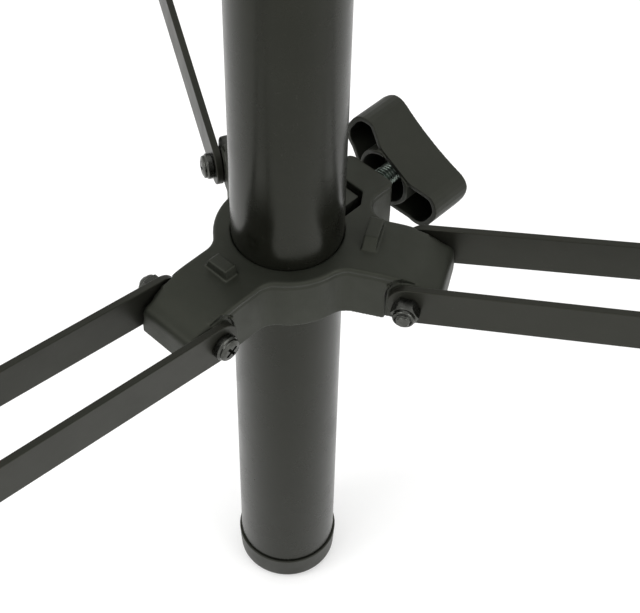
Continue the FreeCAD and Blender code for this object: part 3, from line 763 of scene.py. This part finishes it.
# --- pole clamp, hub and pressure pads ---
moulded("pole_clamp", 0.4, 3, 0.3)
moulded("leg_hub", 0.5, 3, 0.3)


def narrowed(node, half_width):
    """A pressure pad, cut to the width that leaves a gap at each side of its slot."""
    keep = extruded([(10, -half_width), (40, -half_width), (40, half_width), (10, half_width)], 1200)
    return combined(node_shape(node), moved(keep, turn("Z", KNOB_AZIMUTH)), "INTERSECT")


for pad in ("collar_pad", "pole_clamp_pad"):
    moulded(pad, 0.3, 2, 0.4, narrowed(pad, PAD_HALF_WIDTH))


# --- clamp bolts ---
def clamp_bolt(z):
    """Threaded rod from the pressure pad into the knob."""
    rod = threaded(CLAMP_BOLT_END - CLAMP_BOLT_START, CLAMP_BOLT_R, M8_PITCH, 48)
    return moved(rod, turn("Z", KNOB_AZIMUTH) @ shift(CLAMP_BOLT_START, 0, z) @ turn("Y", 90))


for node in ("collar_knob_bolt", "pole_clamp_bolt"):
    dress(node, clamp_bolt(middle_z(node)), 50.0)


# --- pivot fasteners, the head on one side of the leg and the nut on the other ---
def at_pivot(pivot, y, tilt):
    """Place on a pivot's axis, at y along it, with the shape's own +Z laid along the axis."""
    return shift(pivot[0], y, pivot[1]) @ turn("X", tilt)


def pivot_screw():
    length = 2 * FASTENER_SEAT + 8.2
    head = moved(pan_head(SCREW_HEAD_R, SCREW_HEAD_HEIGHT), shift(0, 0, FASTENER_SEAT) @ turn("Z", 30))
    bolt = moved(shank(COLLAR_SCREW_R, length, COLLAR_SCREW_THREAD, COLLAR_SCREW_PITCH),
                 shift(0, 0, FASTENER_SEAT + 1) @ turn("X", 180))
    return moved(joined(head, bolt), at_pivot(BRACE_PIVOT, 0, -90))


def pivot_nut():
    return moved(lock_nut(SMALL_NUT, NUT_HEIGHT, COLLAR_SCREW_R), at_pivot(BRACE_PIVOT, -FASTENER_SEAT, 90))


def hub_bolt():
    head = moved(hex_head(HUB_BOLT_HEX, HUB_BOLT_HEAD), shift(0, 0, EAR_OUTER))
    bolt = moved(shank(HUB_BOLT_R, 2 * EAR_OUTER + 8.5, HUB_BOLT_THREAD, M8_PITCH),
                 shift(0, 0, EAR_OUTER + 1) @ turn("X", 180))
    return moved(joined(head, bolt), at_pivot(HUB_PIVOT, 0, -90))


def hub_nut():
    return moved(lock_nut(HUB_BOLT_HEX, NUT_HEIGHT, HUB_BOLT_R), at_pivot(HUB_PIVOT, -EAR_OUTER, 90))


dress("collar_pivot_screws", around_legs(pivot_screw))
dress("collar_pivot_nuts", around_legs(pivot_nut))
dress("leg_hub_bolts", around_legs(hub_bolt))
dress("leg_hub_nuts", around_legs(hub_nut))


# --- braces ---
def brace_bar(side):
    """Flat steel bar with round ends, a hole at each, and edges rolled by the punch."""
    half = BAR_WIDTH / 2
    arc = [math.radians(90 - 180 * k / 24) for k in range(25)]
    outline = [(BRACE_LENGTH - BAR_END_INSET + half * math.cos(a), -half * math.sin(a)) for a in arc]
    outline += [(BAR_END_INSET - half * math.cos(a), half * math.sin(a)) for a in arc]
    holes = [circle(x, 0, BAR_HOLE_R) for x in (0, BRACE_LENGTH)]
    bar = plate(outline, holes, BAR_THICKNESS, BAR_EDGE)
    return moved(bar, turn("X", -90 * side))


# --- legs ---
def leg_tube():
    end = FOOT_CENTRE - 4
    inner = LEG_R - LEG_WALL
    return lathe(rounded([(inner, -end, 0.3), (LEG_R, -end, 0.3), (LEG_R, -LEG_HEAD_LENGTH, 0.3),
                          (inner, -LEG_HEAD_LENGTH, 0.3)]), 112)


def leg_foot(place):
    """Rubber boot with grip grooves, worn flat on the floor."""
    side = []
    for k in range(FOOT_GROOVES):
        z = 8 + FOOT_GROOVE_PITCH * k
        side += [(FOOT_R, z, 0.25), (FOOT_R - 0.9, z + 0.5, 0.2), (FOOT_R - 0.9, z + 1.5, 0.2),
                 (FOOT_R, z + 2.0, 0.25)]
    sole = [(0, -FOOT_R, 0), (8, -15.6, 3), (14.6, -9.6, 3), (FOOT_R, 0, 2)]
    mouth = [(FOOT_R, 43, 1), (FOOT_R - 2, 46, 0.8), (LEG_R, 46, 0.4), (LEG_R, 4, 0), (0, 4, 0)]
    boot = lathe(rounded(sole + side + mouth), 112)
    moved(boot, place @ shift(0, 0, -FOOT_CENTRE))
    cut = bmesh.ops.bisect_plane(boot, geom=boot.verts[:] + boot.edges[:] + boot.faces[:], dist=1e-4,
                                 plane_co=(0, 0, 0), plane_no=(0, 0, -1), clear_outer=True)
    bmesh.ops.holes_fill(boot, edges=[e for e in cut["geom_cut"] if isinstance(e, bmesh.types.BMEdge)])
    return boot


for leg, azimuth in LEG_AZIMUTHS.items():
    place = leg_place(azimuth)
    for letter, side in (("a", 1), ("b", -1)):
        dress(f"brace_{leg}_bar_{letter}", moved(brace_bar(side), bar_place(azimuth, side)), 12.0)
    dress(f"brace_{leg}_rivets", joined(*[moved(hex_washer_bolt(side), bar_place(azimuth, side))
                                           for side in (1, -1)]))
    dress(f"leg_{leg}_tube", moved(leg_tube(), place))
    dress(f"leg_{leg}_foot", leg_foot(place))
    moulded(f"leg_{leg}_head", 0.35, 2, 0.35)
    moulded(f"leg_{leg}_saddle", 0.35, 2, 0.35)


# --- stage ---
FLOOR_HALF = 6.0
FLOOR_Z = -0.0005
FLOOR_GLOW = 0.30


def floor_plane():
    mesh = bpy.data.meshes.new("floor")
    corners = [(-FLOOR_HALF, -FLOOR_HALF), (FLOOR_HALF, -FLOOR_HALF), (FLOOR_HALF, FLOOR_HALF),
               (-FLOOR_HALF, FLOOR_HALF)]
    mesh.from_pydata([(x, y, FLOOR_Z) for x, y in corners], [], [(0, 1, 2, 3)])
    obj = bpy.data.objects.new("floor", mesh)
    scene.collection.objects.link(obj)
    obj.data.materials.append(floor_paper())


def floor_paper():
    """Pale seamless paper."""
    paper = Nodes("floor_paper")
    paper.bsdf.inputs["Emission Color"].default_value = WHITE
    paper.bsdf.inputs["Emission Strength"].default_value = FLOOR_GLOW
    colour = paper.blend(paper.noise(3.0, 3.0), rgb(0.70, 0.70, 0.695), rgb(0.74, 0.74, 0.735))
    return paper.finish(colour, paper.levels(paper.noise(40.0), 0.75, 0.85))


def white_world():
    world = bpy.data.worlds.new("studio")
    world.use_nodes = True
    background = world.node_tree.nodes["Background"]
    background.inputs["Color"].default_value = WHITE
    background.inputs["Strength"].default_value = 1.0
    scene.world = world


def softbox(name, place, aim, width, height, power):
    light = bpy.data.lights.new(name, "AREA")
    light.shape = "RECTANGLE"
    light.size = width
    light.size_y = height
    light.energy = power
    obj = bpy.data.objects.new(name, light)
    scene.collection.objects.link(obj)
    obj.location = place
    obj.rotation_mode = "QUATERNION"
    obj.rotation_quaternion = (Vector(aim) - Vector(place)).to_track_quat("-Z", "Y")


floor_plane()
white_world()
softbox("key", (-1.6, -1.0, 2.2), (0, 0, 0.2), 1.4, 1.4, 28.0)
softbox("fill", (1.8, -1.2, 1.6), (0, 0, 0.2), 1.6, 1.6, 18.0)


# --- camera, looking down on the collar from the front ---
CAMERA_PLACE = (0.00073, -0.37937, 0.60409)
CAMERA_LENS = 89.565
PITCH = math.radians(49.58)
YAW = math.radians(1.69)
ROLL = math.radians(1.41)


def camera():
    data = bpy.data.cameras.new("camera")
    data.sensor_width = 36.0
    data.lens = CAMERA_LENS
    data.clip_start = 0.01
    obj = bpy.data.objects.new("camera", data)
    scene.collection.objects.link(obj)
    scene.camera = obj
    level_way = Vector((math.sin(YAW), math.cos(YAW), 0.0))
    forward = level_way * math.cos(PITCH) - Vector((0, 0, math.sin(PITCH)))
    level = Vector((math.cos(YAW), -math.sin(YAW), 0.0))
    above = level.cross(forward)
    right = level * math.cos(ROLL) + above * math.sin(ROLL)
    up = above * math.cos(ROLL) - level * math.sin(ROLL)
    axes = Matrix((right, up, -forward)).transposed()
    obj.matrix_world = Matrix.Translation(CAMERA_PLACE) @ axes.to_4x4()


camera()
scene.view_settings.view_transform = "Standard"
